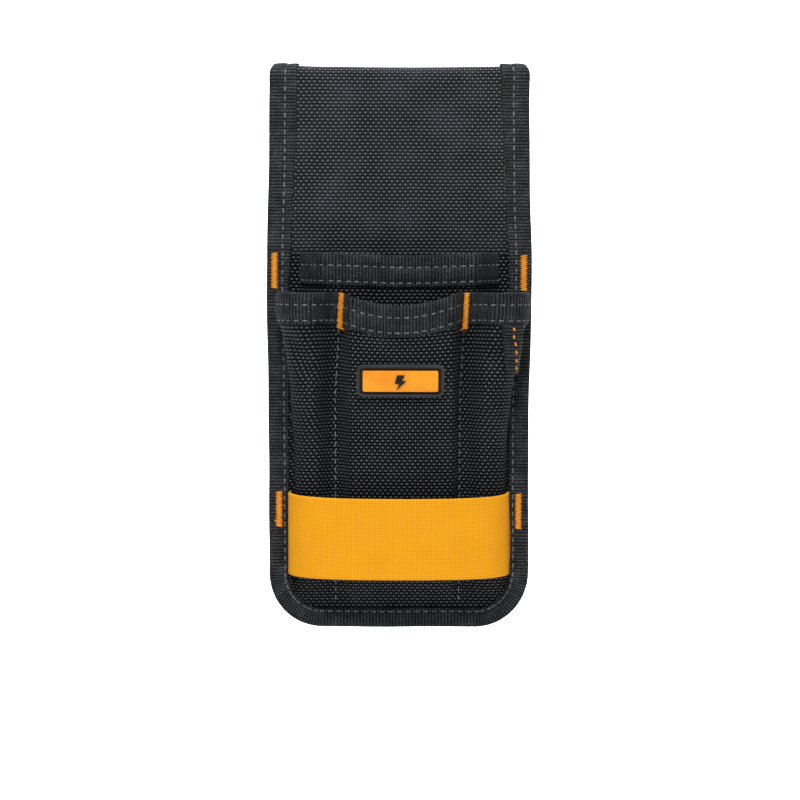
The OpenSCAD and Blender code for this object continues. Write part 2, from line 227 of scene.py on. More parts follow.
def cloth_sheet(name, grid, lengths, thickness):
    """A sheet of cloth: a plane grid is moved onto the cloth's middle and given thickness."""
    rows, cols = grid.shape[:2]
    deselect()
    bpy.ops.mesh.primitive_grid_add(x_subdivisions=cols - 1, y_subdivisions=rows - 1, size=1)
    piece = bpy.context.object
    piece.name = name
    piece.data.name = name
    piece.data.vertices.foreach_set("co", place(grid).reshape(-1))
    corner_of = np.empty(len(piece.data.loops), int)
    piece.data.loops.foreach_get("vertex_index", corner_of)
    flat = lengths.reshape(-1, 2)[corner_of]
    piece.data.uv_layers.active.data.foreach_set("uv", flat.reshape(-1))
    piece.data.uv_layers.active.name = "cloth"
    piece.data.update()
    wall = piece.modifiers.new("wall", "SOLIDIFY")
    wall.thickness = thickness * MM
    wall.offset = 0
    wall.use_even_offset = True
    bpy.ops.object.modifier_apply(modifier="wall")
    bpy.ops.object.shade_smooth_by_angle(angle=math.radians(50))
    return piece


def dress(piece, material, slot, *nodes):
    """Gives a piece its material and lets it ride on the pouch. slot is not used."""
    piece.data.materials.clear()
    piece.data.materials.append(material)
    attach(piece, ROOT)
    if nodes:
        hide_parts(*nodes)
    return piece


def layers(tree, base, *terms):
    """Lays one part of a finish over another: base plus each (part, share)."""
    for part, share_of_it in terms:
        base = add_node(tree, "Math", {0: part, 1: share_of_it, 2: base}, operation="MULTIPLY_ADD")
    return base


def yarn_waves(tree, lengths, pitch_mm):
    """A sine across the cloth's width and one up its height, each zero between two yarns."""
    parts = add_node(tree, "SeparateXYZ", {"Vector": lengths})
    waves = []
    for axis, pitch in zip("XY", pitch_mm):
        phase = add_node(tree, "Math", {0: parts.outputs[axis], 1: math.pi / (pitch * MM)},
                         operation="MULTIPLY")
        waves.append(add_node(tree, "Math", {0: phase}, operation="SINE"))
    return waves


def cloth_surface(tree, colour, height, relief_mm, roughness, shine):
    """Cloth as a surface: yarns stand up by relief_mm, and only their crowns shine."""
    relief = add_node(tree, "Bump", {
        "Height": height, "Distance": relief_mm * MM, "Strength": 1.0})
    gloss = add_node(tree, "MapRange", {
        "Value": height, "From Min": 0.45, "From Max": 1.0, "To Min": 0.0, "To Max": shine})
    surface = add_node(tree, "BsdfPrincipled", {
        "Base Color": colour, "Roughness": roughness, "Normal": relief.outputs[0],
        "Specular IOR Level": gloss.outputs["Result"], "Sheen Weight": 0.02,
        "Sheen Roughness": 0.35})
    add_node(tree, "OutputMaterial", {"Surface": surface.outputs["BSDF"]})


def woven(name, stops, pitch_mm, relief_mm, roughness=0.5, shine=0.35, warp_highlight_share=0.35, wander=0.5):
    """Plain weave along the cloth's own lengths. stops run from the gaps to the crowns, and
    pitch_mm is the yarn spacing across and up. Each yarn rises over one and dips under the
    next, so the bright weft crowns sit in a staggered lattice with dark gaps between them. The
    colour is painted: shade in the gaps, highlight on the crowns and sheen on the weft crowns."""
    material, tree = blank_material(name)
    lengths = add_node(tree, "UVMap", uv_map="cloth")
    drift = add_node(tree, "TexNoise", {"Vector": lengths, "Scale": 1 / (9 * MM), "Detail": 2.0})
    moved = add_node(tree, "VectorMath", {0: drift.outputs["Color"], 1: (wander * MM,) * 3,
                                          2: lengths}, operation="MULTIPLY_ADD")
    waves = yarn_waves(tree, moved, pitch_mm)
    over = add_node(tree, "Math", {0: waves[0], 1: waves[1]}, operation="MULTIPLY")
    yarns = []
    for wave, rising in zip(waves, (0.5, -0.5)):
        crown = add_node(tree, "Math", {0: wave}, operation="ABSOLUTE")
        yarns.append(add_node(tree, "Math", {0: crown, 1: layers(tree, 0.5, (over, rising))},
                              operation="MULTIPLY"))
    warp, weft = yarns
    fibre = add_node(tree, "TexNoise", {"Vector": lengths, "Scale": 1 / (0.35 * MM), "Detail": 1.0})
    patch = add_node(tree, "TexNoise", {"Vector": lengths, "Scale": 1 / (20 * MM), "Detail": 3.0})
    higher = add_node(tree, "Math", {0: warp, 1: weft}, operation="MAXIMUM")
    height = layers(tree, higher, (fibre, 0.12))
    # Painted shade and highlight: the tone falls in the gaps and rises on the crowns, most on the weft
    # crowns as painted sheen, over random fibre and patch tone
    tone = layers(tree, -0.3, (weft, 0.95), (warp, warp_highlight_share), (fibre, 0.32), (patch, 0.28))
    colour = add_node(tree, "ValToRGB", {"Fac": tone}, stops)
    cloth_surface(tree, colour, height, relief_mm, roughness, shine)
    return material


# Ballistic nylon: thick filament yarns, so the eye sees bright dots in a staggered lattice over
# near-black gaps; the dots are painted highlight and the gaps painted shade. The yarns are drawn
# 1.23 mm apart across and 1.57 mm up, so that they show.
YARN_PITCH = (1.23, 1.57)
ballistic = woven("ballistic_nylon_weave", [(0.2, "#090a0b"), (0.36, "#1a1b1e"), (0.5, "#3f4247"),
                                            (0.85, "#50545a")], YARN_PITCH, 0.4)


def flare(z):
    """The pouch's sides swell a little where the pockets pull on them, and its top is rounded."""
    z = np.asarray(z, float)
    top = np.clip((z - fold_z - fold_r + 4.5) / 4.5, 0, 1)
    return 1.1 * np.exp(-((z - 158) / 42) ** 2) - 2.0 * top ** 2.5


def corner_inset(z):
    """How far a rounded bottom corner cuts in from the side at height z."""
    rise = np.clip(corner_r - (np.asarray(z, float) - fabric_z), 0, corner_r)
    return corner_r - np.sqrt(np.maximum(corner_r ** 2 - rise ** 2, 0))


def panel_swell(x, z):
    """The back is a little uneven, as sewn layers are: a few tenths of a millimetre."""
    return 0.22 * np.sin(x / 17 + z / 41) * np.sin(z / 29 + 0.6) + 0.12 * np.sin(x / 9 - z / 23)


def back_profile(step):
    """The panel's middle line from the bottom up, over the fold and down to the flap's end."""
    mid = fold_r - FABRIC / 2
    keys = [(FABRIC / 2, fabric_z), (FABRIC / 2, fold_z)]
    keys += [(fold_r - mid * math.cos(t), fold_z + mid * math.sin(t))
             for t in np.radians(np.arange(10, 180, 10))]
    flap = 2 * fold_r - FABRIC / 2
    keys += [(flap, fold_z), (flap, flap_z + flap_sewn_h + flap_ramp_h + 1),
             (flap - 0.6, flap_z + flap_sewn_h + flap_ramp_h - 1.5),
             (flap_seat - FABRIC / 2 + 0.6, flap_z + flap_sewn_h + 1.5),
             (flap_seat - FABRIC / 2, flap_z + flap_sewn_h - 1), (flap_seat - FABRIC / 2, flap_z)]
    keys = np.array(keys)
    length = run_length(keys, 0)
    at = np.linspace(0, length[-1], int(length[-1] / step))
    return np.stack([np.interp(at, length, keys[:, i]) for i in (0, 1)], axis=1), at


profile, profile_at = back_profile(1.6)
share = np.linspace(-1, 1, 91)
side_at = half_w + flare(profile[:, 1]) - np.where(
    profile[:, 0] < 1, corner_inset(profile[:, 1]), 0)
xs = share[None, :] * side_at[:, None]
ys = np.repeat(profile[:, :1], len(share), axis=1)
zs = np.repeat(profile[:, 1:], len(share), axis=1)
on_front = np.clip((fold_z - zs) / 20, 0, 1) * (ys < 1)
ys = ys - on_front * panel_swell(xs, zs)
dip_top = 0.9 * (1 - (xs / half_w) ** 2) * np.clip((zs - fold_z) / fold_r, 0, 1)
panel_grid = np.stack([xs, ys, zs - dip_top], axis=-1)
panel_lengths = np.stack([xs, np.repeat(profile_at[:, None], len(share), axis=1)], axis=-1) * MM
back_panel = cloth_sheet("back_panel_cloth", panel_grid, panel_lengths, FABRIC)
dress(back_panel, ballistic, "ballistic_nylon", "back_panel")


# ---------------------------------------------------------- Board and lining
# A plastic board inside the back keeps it flat. It is moulded sheet with a fine matt grain,
# and it shows only as a thin edge between the cloth layers.

board_plastic, tree = blank_material("matt_polyethylene_board")
where = add_node(tree, "TexCoord")
grain = add_node(tree, "TexNoise", {
    "Vector": where.outputs["Object"], "Scale": 1 / (0.8 * MM), "Detail": 2.0})
tone = add_node(tree, "ValToRGB", {"Fac": grain}, [(0.3, "#1c1d1f"), (0.7, "#2a2b2d")])
relief = add_node(tree, "Bump", {
    "Height": grain, "Distance": 0.05 * MM, "Strength": 0.6})
surface = add_node(tree, "BsdfPrincipled", {
    "Base Color": tone, "Roughness": 0.55, "Normal": relief.outputs[0]})
add_node(tree, "OutputMaterial", {"Surface": surface.outputs["BSDF"]})
board = bpy.data.objects["stiffener_board"]
board.data.materials.clear()
board.data.materials.append(board_plastic)

# The hip side is lined with a thinner plain-woven nylon, sewn in with the edge tape. Its fine
# yarns give a flat dull black. They are drawn 0.8 mm and 0.9 mm apart, coarser than real ones,
# so that the weave shows.
# Its gaps are painted near-black as shade and its crowns grey as highlight
lining_cloth = woven("lining_nylon_weave", [(0.15, "#0a0b0c"), (0.6, "#1c1e20"), (1.0, "#34373a")],
                     (0.8, 0.9), 0.15, roughness=0.7, shine=0.15, warp_highlight_share=0.8)
lining_top = (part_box("back_lining")[1].z - bottom_z) / MM
lining_z = np.linspace(fabric_z, lining_top, 150)
lining_x = share[None, :] * (half_w + flare(lining_z) - corner_inset(lining_z))[:, None]
lining_zs = np.repeat(lining_z[:, None], len(share), axis=1)
lining_y = (panel_t - FABRIC / 2) + 0.25 * panel_swell(lining_x + 30, lining_zs)
lining_grid = np.stack([lining_x, lining_y, lining_zs], axis=-1)[:, ::-1]
lining_lengths = np.stack([lining_x, lining_zs], axis=-1)[:, ::-1] * MM
lining = cloth_sheet("back_lining_cloth", lining_grid, lining_lengths, FABRIC)
dress(lining, lining_cloth, "lining_fabric", "back_lining")


# ------------------------------------------------------------- Pliers pocket
# The rear pocket is one piece of the same nylon. Its flat front stands out from the back and
# its sides slope down to the edge tape, so a pair of pliers drops in between.

hem_h = 14
pliers_top = (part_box("pliers_hem")[1].z - bottom_z) / MM
front_top = (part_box("front_hem")[1].z - bottom_z) / MM
pliers_bulge = (front_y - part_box("pliers_hem")[0].y) / MM - 2.0
pliers_half_w = 33.5
flat_h = 12
edge_in = 1.6
layer = FABRIC + rest_gap
pliers_base = rest_gap + FABRIC / 2
front_base = pliers_base + layer
tape_low_w, tape_mid_w, tape_top_w = 8, 9.7, 12
strap_low = (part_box("tape_clip_strap")[0].z - bottom_z) / MM
strap_top = (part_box("tape_clip_strap")[1].z - bottom_z) / MM
sleeve_out = (-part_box("front_hem")[0].x / MM - 1.45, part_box("front_hem")[1].x / MM - 1.45)
sleeve_low = (46.6, 47.9)


def table(value, pairs):
    keys, values = zip(*pairs)
    return np.interp(value, keys, values)


def height_share(z, top):
    return max(0.0, (z - flat_h) / (top - flat_h))


def flatness(z):
    return max(0.0, 1 - 12 * height_share(z, front_top))


def tape_width(z):
    return table(z, [(strap_top, tape_low_w), (front_top, tape_mid_w), (fold_z, tape_top_w)])


def sleeve_x(side, z):
    reach = table(z / front_top, [(0.40, 0), (0.56, 0.09), (0.68, 0.27), (0.78, 0.45),
                                  (0.88, 0.78), (0.93, 1)])
    return sleeve_low[side] + (sleeve_out[side] - sleeve_low[side]) * reach


def root_at(side, z):
    return min(half_w - tape_width(z) - 0.8, sleeve_x(side, z) + 0.7 + 2.5 * flatness(z))


def squeeze(x, z):
    """Keeps a pocket layer's edge inside the rounded bottom corners."""
    hold = half_w - 26
    span = half_w - edge_in - hold
    edge = half_w - edge_in - corner_inset(z)
    if abs(x) < hold:
        return x
    return math.copysign(hold + (edge - hold) * (abs(x) - hold) / span, x)


def pliers_depth(z):
    return pliers_base + pliers_bulge * table(
        height_share(z, pliers_top), [(0, 0), (0.11, 0.22), (0.31, 0.38), (1, 1)])


def pliers_half(side, z):
    start = root_at(side, z) - 2
    slope = [(0, 0), (0.2, 0.1), (0.45, 0.4), (0.7, 0.75), (0.88, 0.93), (1, 1)]
    return ([(half_w - edge_in, pliers_base), (start + 3, pliers_base)]
            + [(start + (pliers_half_w - start) * a,
                pliers_base + (pliers_depth(z) - pliers_base) * b) for a, b in slope]
            + [(26, pliers_depth(z)), (14, pliers_depth(z)), (0, pliers_depth(z))])


def section(half, z):
    """A level section from the left edge to the right: half(side, z) gives each side."""
    left = [(-x, d) for x, d in half(0, z)]
    right = [(x, d) for x, d in reversed(half(1, z)[:-1])]
    return np.array([(squeeze(x, z), -d, z) for x, d in left + right])


def cut_corners(line, times):
    """Rounds a line of points by cutting its corners, keeping both ends."""
    for _ in range(times):
        low, high = line[:-1], line[1:]
        cut = np.stack([0.75 * low + 0.25 * high, 0.25 * low + 0.75 * high], axis=1)
        line = np.concatenate([line[:1], cut.reshape(-1, 3), line[-1:]])
    return line


def soften(grid, times):
    """Lets each row settle towards its neighbours, as cloth does, keeping the first and last."""
    for _ in range(times):
        grid[1:-1] = 0.5 * grid[1:-1] + 0.25 * (grid[:-2] + grid[2:])
    return grid


def pocket_grid(half, top, step, rounds):
    heights = np.linspace(fabric_z + 1, top, int((top - fabric_z) / step))
    return np.array([cut_corners(section(half, z), rounds) for z in heights])


def pliers_sag(grid):
    """Soft hollows in the pocket's front: it is held at its corners and pressed from behind."""
    x, z = grid[..., 0], grid[..., 2]
    free = np.clip((z - 40) / 60, 0, 1) * np.exp(-(x / 34) ** 4)
    grid[..., 1] -= free * (0.5 * np.sin(x / 11 + 0.4) * np.sin(z / 26) + 0.3 * np.cos(x / 19))
    edge = np.clip((z - pliers_top + 40) / 40, 0, 1) ** 2
    grid[..., 2] -= edge * 1.3 * np.exp(-((x - 4) / 26) ** 2)
    return grid


# The pockets take a darker copy of the same weave, with wider black gaps and darker middle tones:
# painted shade.
painted_shade_pocket_nylon = woven("ballistic_nylon_painted_shade_weave", [(0.24, "#010102"), (0.41, "#101113"),
                                                      (0.54, "#383b3f"), (0.9, "#54585d")],
                     YARN_PITCH, 0.45)
pliers_grid = pliers_sag(soften(pocket_grid(pliers_half, pliers_top - 0.95, 1.6, 2), 6))
pliers_pocket = cloth_sheet("pliers_pocket_cloth", pliers_grid, cloth_lengths(pliers_grid), FABRIC)
dress(pliers_pocket, painted_shade_pocket_nylon, "ballistic_nylon", "pliers_pocket")


def declare_cloth(grid):
    """Works out a pocket's flat cut, its widest girth by its height; the result is not kept."""
    girth = float(run_length(grid, 1)[:, -1].max()) * MM
    tall = float(run_length(grid, 0)[-1].max()) * MM


declare_cloth(pliers_grid)


# -------------------------------------------------------------- Front pocket
# The front pocket is one wider piece, pleated so that it makes a round sleeve at each side and
# a flat-fronted pocket in the middle. It is sewn down between them to the pliers pocket.

centre_bulge = (front_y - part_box("front_hem")[0].y) / MM - 1.45 - front_base
sleeve_bulge = 28
centre_half = (22, 24.5)
seam_x = (27.2, 29.5)
fold_half = 2.1
scoop = 6


def front_rise(z, full, low):
    return front_base + full * table(
        height_share(z, front_top), [(0, 0), (0.12, 0.7 * low), (0.35, low), (1, 1)])


def ease(t):
    t = np.clip(t, 0, 1)
    return t * t * (3 - 2 * t)


def seam_depth(z):
    return pliers_depth(z) + layer + 0.95 * float(ease((z - front_top + 2 * hem_h) / hem_h))


def seam_at(side, z):
    return seam_x[side] + (-1, 1)[side] * table(z / front_top, [(0.7, -1.3), (1, 1.2)])


def front_half(side, z):
    out = sleeve_x(side, z)
    root = root_at(side, z)
    deep = front_rise(z, sleeve_bulge, 0.4)
    face = front_rise(z, centre_bulge, 0.4)
    wall = root - 0.2 - 0.8 * flatness(z)
    seam, low = seam_at(side, z), seam_depth(z)
    apex = out + (seam - out) * 0.48
    lift = front_base + min(2.25, 0.3 * (deep - front_base))
    waist = lift + (deep - lift) * 0.42
    corner = min(1.4, 0.3 * (face - low))
    turns = np.radians((30, 60, 90))
    line = [(half_w - edge_in, front_base), (root + 1.2, front_base), (root, front_base + 0.1),
            (wall, lift)]
    line += [(wall + (out - wall) * math.sin(t), lift + (waist - lift) * (1 - math.cos(t)) ** 0.7)
             for t in turns]
    line += [(out + (apex - out) * (1 - math.cos(t)), waist + (deep - waist) * math.sin(t))
             for t in turns]
    line += [(apex + (seam + fold_half - apex) * t / 180,
              low + (deep - low) * (1 + math.cos(math.radians(t))) / 2) for t in (45, 90, 135)]
    line += [(seam + fold_half, low), (seam - fold_half, low),
             (centre_half[side] + 0.6, face - corner), (centre_half[side] - 1.6, face),
             (16, face), (8, face), (0, face)]
    return line


def front_dip(x):
    return scoop * np.clip(1 - (x / 27) ** 2, 0, 1) ** 1.1


def front_sag(grid):
    """The centre's top edge droops, and the sleeves crease where the tacks pull them in."""
    x, y, z = grid[..., 0].copy(), grid[..., 1], grid[..., 2].copy()
    up = np.clip((z - front_top + 46) / 46, 0, 1)
    grid[..., 2] -= up ** 2 * front_dip(x)
    proud = np.clip((-y - 8) / 10, 0, 1)
    pull = np.exp(-((np.abs(x) - 40) / 7) ** 2) * np.exp(-((z - 118) / 34) ** 2)
    grid[..., 1] += proud * 0.8 * pull * np.sin(z / 7.5 + np.abs(x) / 4)
    for side, depth in ((-1, 2.2), (1, 1.6)):
        # A diagonal crease runs from each sleeve's outer hem down towards its seam
        inward, down = 53 - side * x, 141 - z
        along, off = 0.5 * inward + 0.86 * down, 0.86 * inward - 0.5 * down
        window = ease(along / 8) * ease((55 - along) / 22) * (side * x > 26)
        grid[..., 1] += proud * depth * window * np.exp(-(off / 3.4) ** 2)
    middle = np.exp(-(x / 20) ** 4)
    grid[..., 1] += proud * middle * (0.55 * np.sin(z / 17 + x / 30) * np.sin(x / 12 + 0.8))
    return grid


front_grid = front_sag(soften(pocket_grid(front_half, front_top - 0.95, 1.5, 2), 5))
front_pocket = cloth_sheet("front_pocket_cloth", front_grid, cloth_lengths(front_grid), FABRIC)
dress(front_pocket, painted_shade_pocket_nylon, "ballistic_nylon", "front_pocket")
declare_cloth(front_grid)


# --------------------------------------------------------------- Edge tape
# One woven nylon tape is folded over the pouch's raw edges: down each side, round the bottom,
# and at the top over the fold and down the flap. Its crosswise ribs, 1.5 mm apart, read as a
# dull grey ladder, and one row of lockstitch holds it.

TAPE = 0.9
flap_leg = 10
rib_pitch, rib_h = 1.5, 0.22
stack_front = front_base + FABRIC / 2 + rest_gap
stack_strap = stack_front + 1.45

tape_cloth, tree = blank_material("ribbed_nylon_tape")
lengths = add_node(tree, "UVMap", uv_map="cloth")
crown, strand = (add_node(tree, "Math", {0: wave}, operation="ABSOLUTE")
                 for wave in yarn_waves(tree, lengths, (rib_pitch, 0.8)))
fibre = add_node(tree, "TexNoise", {"Vector": lengths, "Scale": 1 / (0.7 * MM), "Detail": 2.0})
patch = add_node(tree, "TexNoise", {"Vector": lengths, "Scale": 1 / (6 * MM), "Detail": 3.0})
height = layers(tree, 0.0, (crown, 0.6), (strand, 0.2), (fibre, 0.3))
# Painted shade and highlight: the rib grooves are painted darker and the rib crowns lighter, over
# random fibre and patch tone
tone = layers(tree, -0.7, (crown, 0.35), (strand, 0.2), (fibre, 1.15), (patch, 0.6))
colour = add_node(tree, "ValToRGB", {"Fac": tone}, [
    (0.1, "#040505"), (0.42, "#1c1e20"), (0.7, "#2f3234"), (1.0, "#5a5f62")])
cloth_surface(tree, colour, height, relief_mm=0.25, roughness=0.6, shine=0.2)


def new_piece(name, points, faces):
    """A mesh piece from bench points and faces, selected and ready for operators."""
    mesh = bpy.data.meshes.new(name)
    mesh.from_pydata(place(points).reshape(-1, 3).tolist(), [], faces)
    piece = bpy.data.objects.new(name, mesh)
    bpy.context.scene.collection.objects.link(piece)
    deselect()
    piece.select_set(True)
    bpy.context.view_layer.objects.active = piece
    return piece


def turn_outwards():
    bpy.ops.object.mode_set(mode="EDIT")
    bpy.ops.mesh.select_all(action="SELECT")
    bpy.ops.mesh.normals_make_consistent(inside=False)
    bpy.ops.object.mode_set(mode="OBJECT")


def tube(name, rings, lengths):
    """A closed solid through rings of points, with the run along it and round it as UVs."""
    count, around = rings.shape[:2]
    k, i = np.meshgrid(np.arange(count - 1), np.arange(around), indexing="ij")
    a = k * around + i
    b = k * around + (i + 1) % around
    quads = np.stack([a, b, b + around, a + around], axis=-1).reshape(-1, 4)
    ends = [list(range(around))[::-1], list(range((count - 1) * around, count * around))]
    piece = new_piece(name, rings, quads.tolist() + ends)
    mesh = piece.data
    girth = np.concatenate([np.zeros((count, 1)), np.cumsum(np.linalg.norm(
        np.diff(rings, axis=1), axis=-1), axis=1)], axis=1)
    corner_of = np.empty(len(mesh.loops), int)
    mesh.loops.foreach_get("vertex_index", corner_of)
    along = np.repeat(lengths[:, None], around, axis=1).reshape(-1)[corner_of]
    flat = np.stack([along, girth.reshape(-1)[corner_of]], axis=-1) * MM
    # The last column of faces closes the ring, so its far corners take the full girth
    column = corner_of[: len(quads) * 4].reshape(-1, 4) % around
    closing = (column == around - 1).any(axis=1)[:, None] & (column == 0)
    wraps = np.zeros(len(corner_of), bool)
    wraps[: len(quads) * 4] = closing.reshape(-1)
    flat[wraps, 1] = girth[:, -1].mean() * MM
    mesh.uv_layers.new(name="cloth").data.foreach_set("uv", flat.reshape(-1))
    mesh.validate()
    turn_outwards()
    bpy.ops.object.shade_smooth_by_angle(angle=math.radians(60))
    return piece


def resample(stations, step):
    """Stations along a tape, evenly spaced: each is a row whose first three values are a place."""
    stations = np.array(stations, float)
    length = run_length(stations[:, :3], 0)
    keep = np.concatenate([[True], np.diff(length) > 1e-6])
    length, stations = length[keep], stations[keep]
    at = np.linspace(0, length[-1], int(length[-1] / step))
    rows = np.stack([np.interp(at, length, column) for column in stations.T], axis=1)
    return rows, at


def tape_rise(z):
    return table(z, [(strap_low - 7, stack_front), (strap_low - 1, stack_strap),
                     (strap_top + 1, stack_strap), (strap_top + 7, stack_front),
                     (pliers_top + 3, stack_front), (pliers_top + 13, rest_gap)])


def side_of_tape(side):
    """Stations down one side, from the flap's end to the bottom corner: the place on the
    cloth's outer face, the way in, the way out, the front leg, its rise and the back's drop."""
    rows = []

    def add(p, u, n, leg, rise, drop):
        rows.append([*p, *u, *n, leg, rise, drop])

    inward = (-side, 0, 0)
    flap_y = 2 * fold_r
    sewn_z = flap_z + flap_sewn_h
    thin = (rest_gap, FABRIC + rest_gap)
    add((side * half_w, flap_seat, flap_z), inward, (0, 1, 0), flap_leg, *thin)
    add((side * half_w, flap_seat, sewn_z), inward, (0, 0.99, -0.1), flap_leg, *thin)
    add((side * half_w, flap_y, sewn_z + flap_ramp_h), inward, (0, 0.99, -0.1), flap_leg, *thin)
    for t in np.radians(np.arange(0, 181, 6)):
        add((side * half_w, fold_r + fold_r * math.cos(t), fold_z + fold_r * math.sin(t)), inward,
            (0, math.cos(t), math.sin(t)), flap_leg + (tape_top_w - flap_leg) * t / math.pi, *thin)
    for z in (lining_top + 0.1, 230, pliers_top + 13, pliers_top + 3, front_top, 105,
              strap_top + 7, strap_top + 1, strap_low + 2):
        add((side * half_w, 0, z), inward, (0, -1, 0), tape_width(z), tape_rise(z), panel_t + rest_gap)
    for t in np.radians(np.arange(0, 91, 5)):
        u = np.array([-side * math.cos(t), 0, math.sin(t)])
        p = np.array([side * (half_w - corner_r), 0, fabric_z + corner_r]) - u * corner_r
        add(p, u, (0, -1, 0), tape_low_w, tape_rise(p[2]), panel_t + rest_gap)
    return rows


def smooth_columns(rows, columns, reach):
    kernel = np.hanning(2 * reach + 3)[1:-1]
    kernel /= kernel.sum()
    for c in columns:
        padded = np.pad(rows[:, c], reach, mode="edge")
        rows[:, c] = np.convolve(padded, kernel, mode="valid")
    return rows


def ribs(at, pitch=rib_pitch):
    """Rounded ribs across a tape, 0 in the grooves and 1 on the crowns."""
    return np.sqrt(np.abs(np.sin(np.pi * at / pitch)) + 1e-4)


def stitch_dimple(across, at, line, pitch=4.0):
    """How far a row of stitches pulls the tape down, deepest where the needle went in."""
    needle = 0.5 + 0.5 * np.cos(2 * np.pi * at / pitch)
    return (0.22 + 0.16 * needle)[:, None] * np.exp(-((across - line) / 0.75) ** 2)


edge_rows, edge_at = resample(side_of_tape(-1) + side_of_tape(1)[::-1], rib_pitch / 4)
edge_rows = smooth_columns(edge_rows, range(3, 12), 6)
edge_rows[:, 0] += np.sign(edge_rows[:, 0]) * flare(edge_rows[:, 2]) * (edge_rows[:, 2] > 45)


def wander(at, size, *waves):
    """The small unevenness of hand-guided sewing: a sum of slow waves."""
    return size * sum(np.sin(at / wave + 1.7 * k) for k, wave in enumerate(waves)) / len(waves)


edge_rows[:, :3] += (wander(edge_at, 0.25, 7.3, 17.9, 31.0) + 0.1)[:, None] * edge_rows[:, 3:6]
edge_rows[:, 9] += wander(edge_at, 0.35, 9.1, 23.0)
stitch_in = 6.4
p, u, n = edge_rows[:, 0:3], unit(edge_rows[:, 3:6]), unit(edge_rows[:, 6:9])
leg, rise, drop = edge_rows[:, 9:10], edge_rows[:, 10:11], edge_rows[:, 11:12]
# Across the tape: in from the front leg's edge, round the fold and in again at the back
fractions = np.array([1, 0.985, 0.94, 0.9, 0.84, 0.78, 0.72, 0.66, 0.6, 0.52, 0.4, 0.28, 0.16, 0.06])
front_a = leg * fractions[None, :]
puff = 0.16 * np.sin(np.pi * np.clip(front_a / stitch_in, 0, 1))
front_b = rise + TAPE - 0.12 + puff - stitch_dimple(front_a, edge_at, stitch_in)
front_b[:, 0] -= TAPE * 0.85
front_b[:, 1] -= TAPE * 0.3
turn = np.radians([65, 35, 0, -35, -65])
half_depth = (rise + drop) / 2 + TAPE - 0.12
centre_b = (rise - drop) / 2
corner = np.minimum(half_depth, 1.6)
bend_a = -(TAPE + 0.05) * np.cos(turn)[None, :] ** 0.7 + 0 * leg
bend_b = centre_b + np.sign(turn)[None, :] * (half_depth - corner) + corner * np.sin(turn)[None, :]
back_leg = np.minimum(leg, flap_leg)
back_a = back_leg * fractions[None, ::-1]
back_b = -drop - TAPE + 0.12 + stitch_dimple(back_a, edge_at, stitch_in)
back_b[:, -1] += TAPE * 0.85
back_b[:, -2] += TAPE * 0.3
rib = rib_h * (ribs(edge_at) - 0.5)[:, None]
outer_a = np.concatenate([front_a, bend_a - 0.6 * rib, back_a], axis=1)
outer_b = np.concatenate([front_b + rib, bend_b, back_b - rib], axis=1)
inner_a = np.concatenate([back_leg - 0.1, 0.5 + 0 * leg, 0 * leg, 0 * leg, 0.5 + 0 * leg,
                          leg - 0.1], axis=1)
inner_b = np.concatenate([-drop, -drop, -drop + 0.3, rise - 0.3, rise, rise], axis=1)
ring_a = np.concatenate([outer_a, inner_a], axis=1)
ring_b = np.concatenate([outer_b, inner_b], axis=1)
edge_rings = (p[:, None] + ring_a[..., None] * u[:, None] + ring_b[..., None] * n[:, None])
edge_tape = tube("edge_binding_tape", edge_rings, edge_at)
dress(edge_tape, tape_cloth, "binding_tape", "edge_binding")


# Lockstitch thread: bonded nylon, twisted, so each stitch shows as a small pale capsule that
# dives into the cloth at both ends.
def thread(name, stops):
    material, tree = blank_material(name)
    where = add_node(tree, "TexCoord").outputs["Object"]
    twist = add_node(tree, "TexWave", {
        "Vector": where, "Scale": 1 / (1.1 * MM), "Distortion": 1.5, "Detail": 1.0},
        bands_direction="DIAGONAL").outputs["Fac"]
    fluff = add_node(tree, "TexNoise", {"Vector": where, "Scale": 1 / (1.5 * MM), "Detail": 1.0})
    tone = layers(tree, 0.0, (fluff, 0.6), (twist, 0.4))
    colour = add_node(tree, "ValToRGB", {"Fac": tone}, stops)
    relief = add_node(tree, "Bump", {
        "Height": twist, "Distance": 0.08 * MM, "Strength": 0.7})
    surface = add_node(tree, "BsdfPrincipled", {
        "Base Color": colour, "Roughness": 0.6,
        "Normal": relief.outputs[0], "Specular IOR Level": 0.2})
    add_node(tree, "OutputMaterial", {"Surface": surface.outputs["BSDF"]})
    return material


grey_thread = thread("grey_bonded_nylon_thread", [(0.2, "#3a3e41"), (0.8, "#8b9093")])
orange_thread = thread("orange_bonded_nylon_thread", [(0.2, "#cf7410"), (0.8, "#f5a629")])

deselect()
bpy.ops.mesh.primitive_uv_sphere_add(segments=8, ring_count=6, radius=0.5)
model = bpy.context.object
bpy.ops.object.mode_set(mode="EDIT")
bpy.ops.mesh.select_all(action="SELECT")
bpy.ops.transform.rotate(value=math.radians(90), orient_axis="Y", center_override=(0, 0, 0))
bpy.ops.object.mode_set(mode="OBJECT")
capsule_points = np.array([v.co[:] for v in model.data.vertices])
capsule_faces = [list(f.vertices) for f in model.data.polygons]
bpy.data.objects.remove(model)
# Fuller ends than a ball's, and both ends dip
capsule_points[:, 0] = 0.5 * np.sign(capsule_points[:, 0]) * np.abs(2 * capsule_points[:, 0]) ** 0.8


def stitches(name, places, along, up, length, width, height, dive=0.25):
    """One mesh of many stitches: places, the way each runs and the way out of the cloth."""
    places, along, up = (np.asarray(v, float) for v in (places, along, up))
    along = unit(along)
    sidewards = unit(np.cross(up, along))
    up = np.cross(along, sidewards)
    base = capsule_points
    bent = base[:, 2] * height - dive * (2 * base[:, 0]) ** 2
    points = (places[:, None] + along[:, None] * (base[:, 0] * length)[None, :, None]
              + sidewards[:, None] * (base[:, 1] * width)[None, :, None]
              + up[:, None] * bent[None, :, None])
    faces = [[i + k * len(base) for i in face] for k in range(len(places)) for face in capsule_faces]
    piece = new_piece(name, points, faces)
    turn_outwards()
    bpy.ops.object.shade_smooth()
    return piece


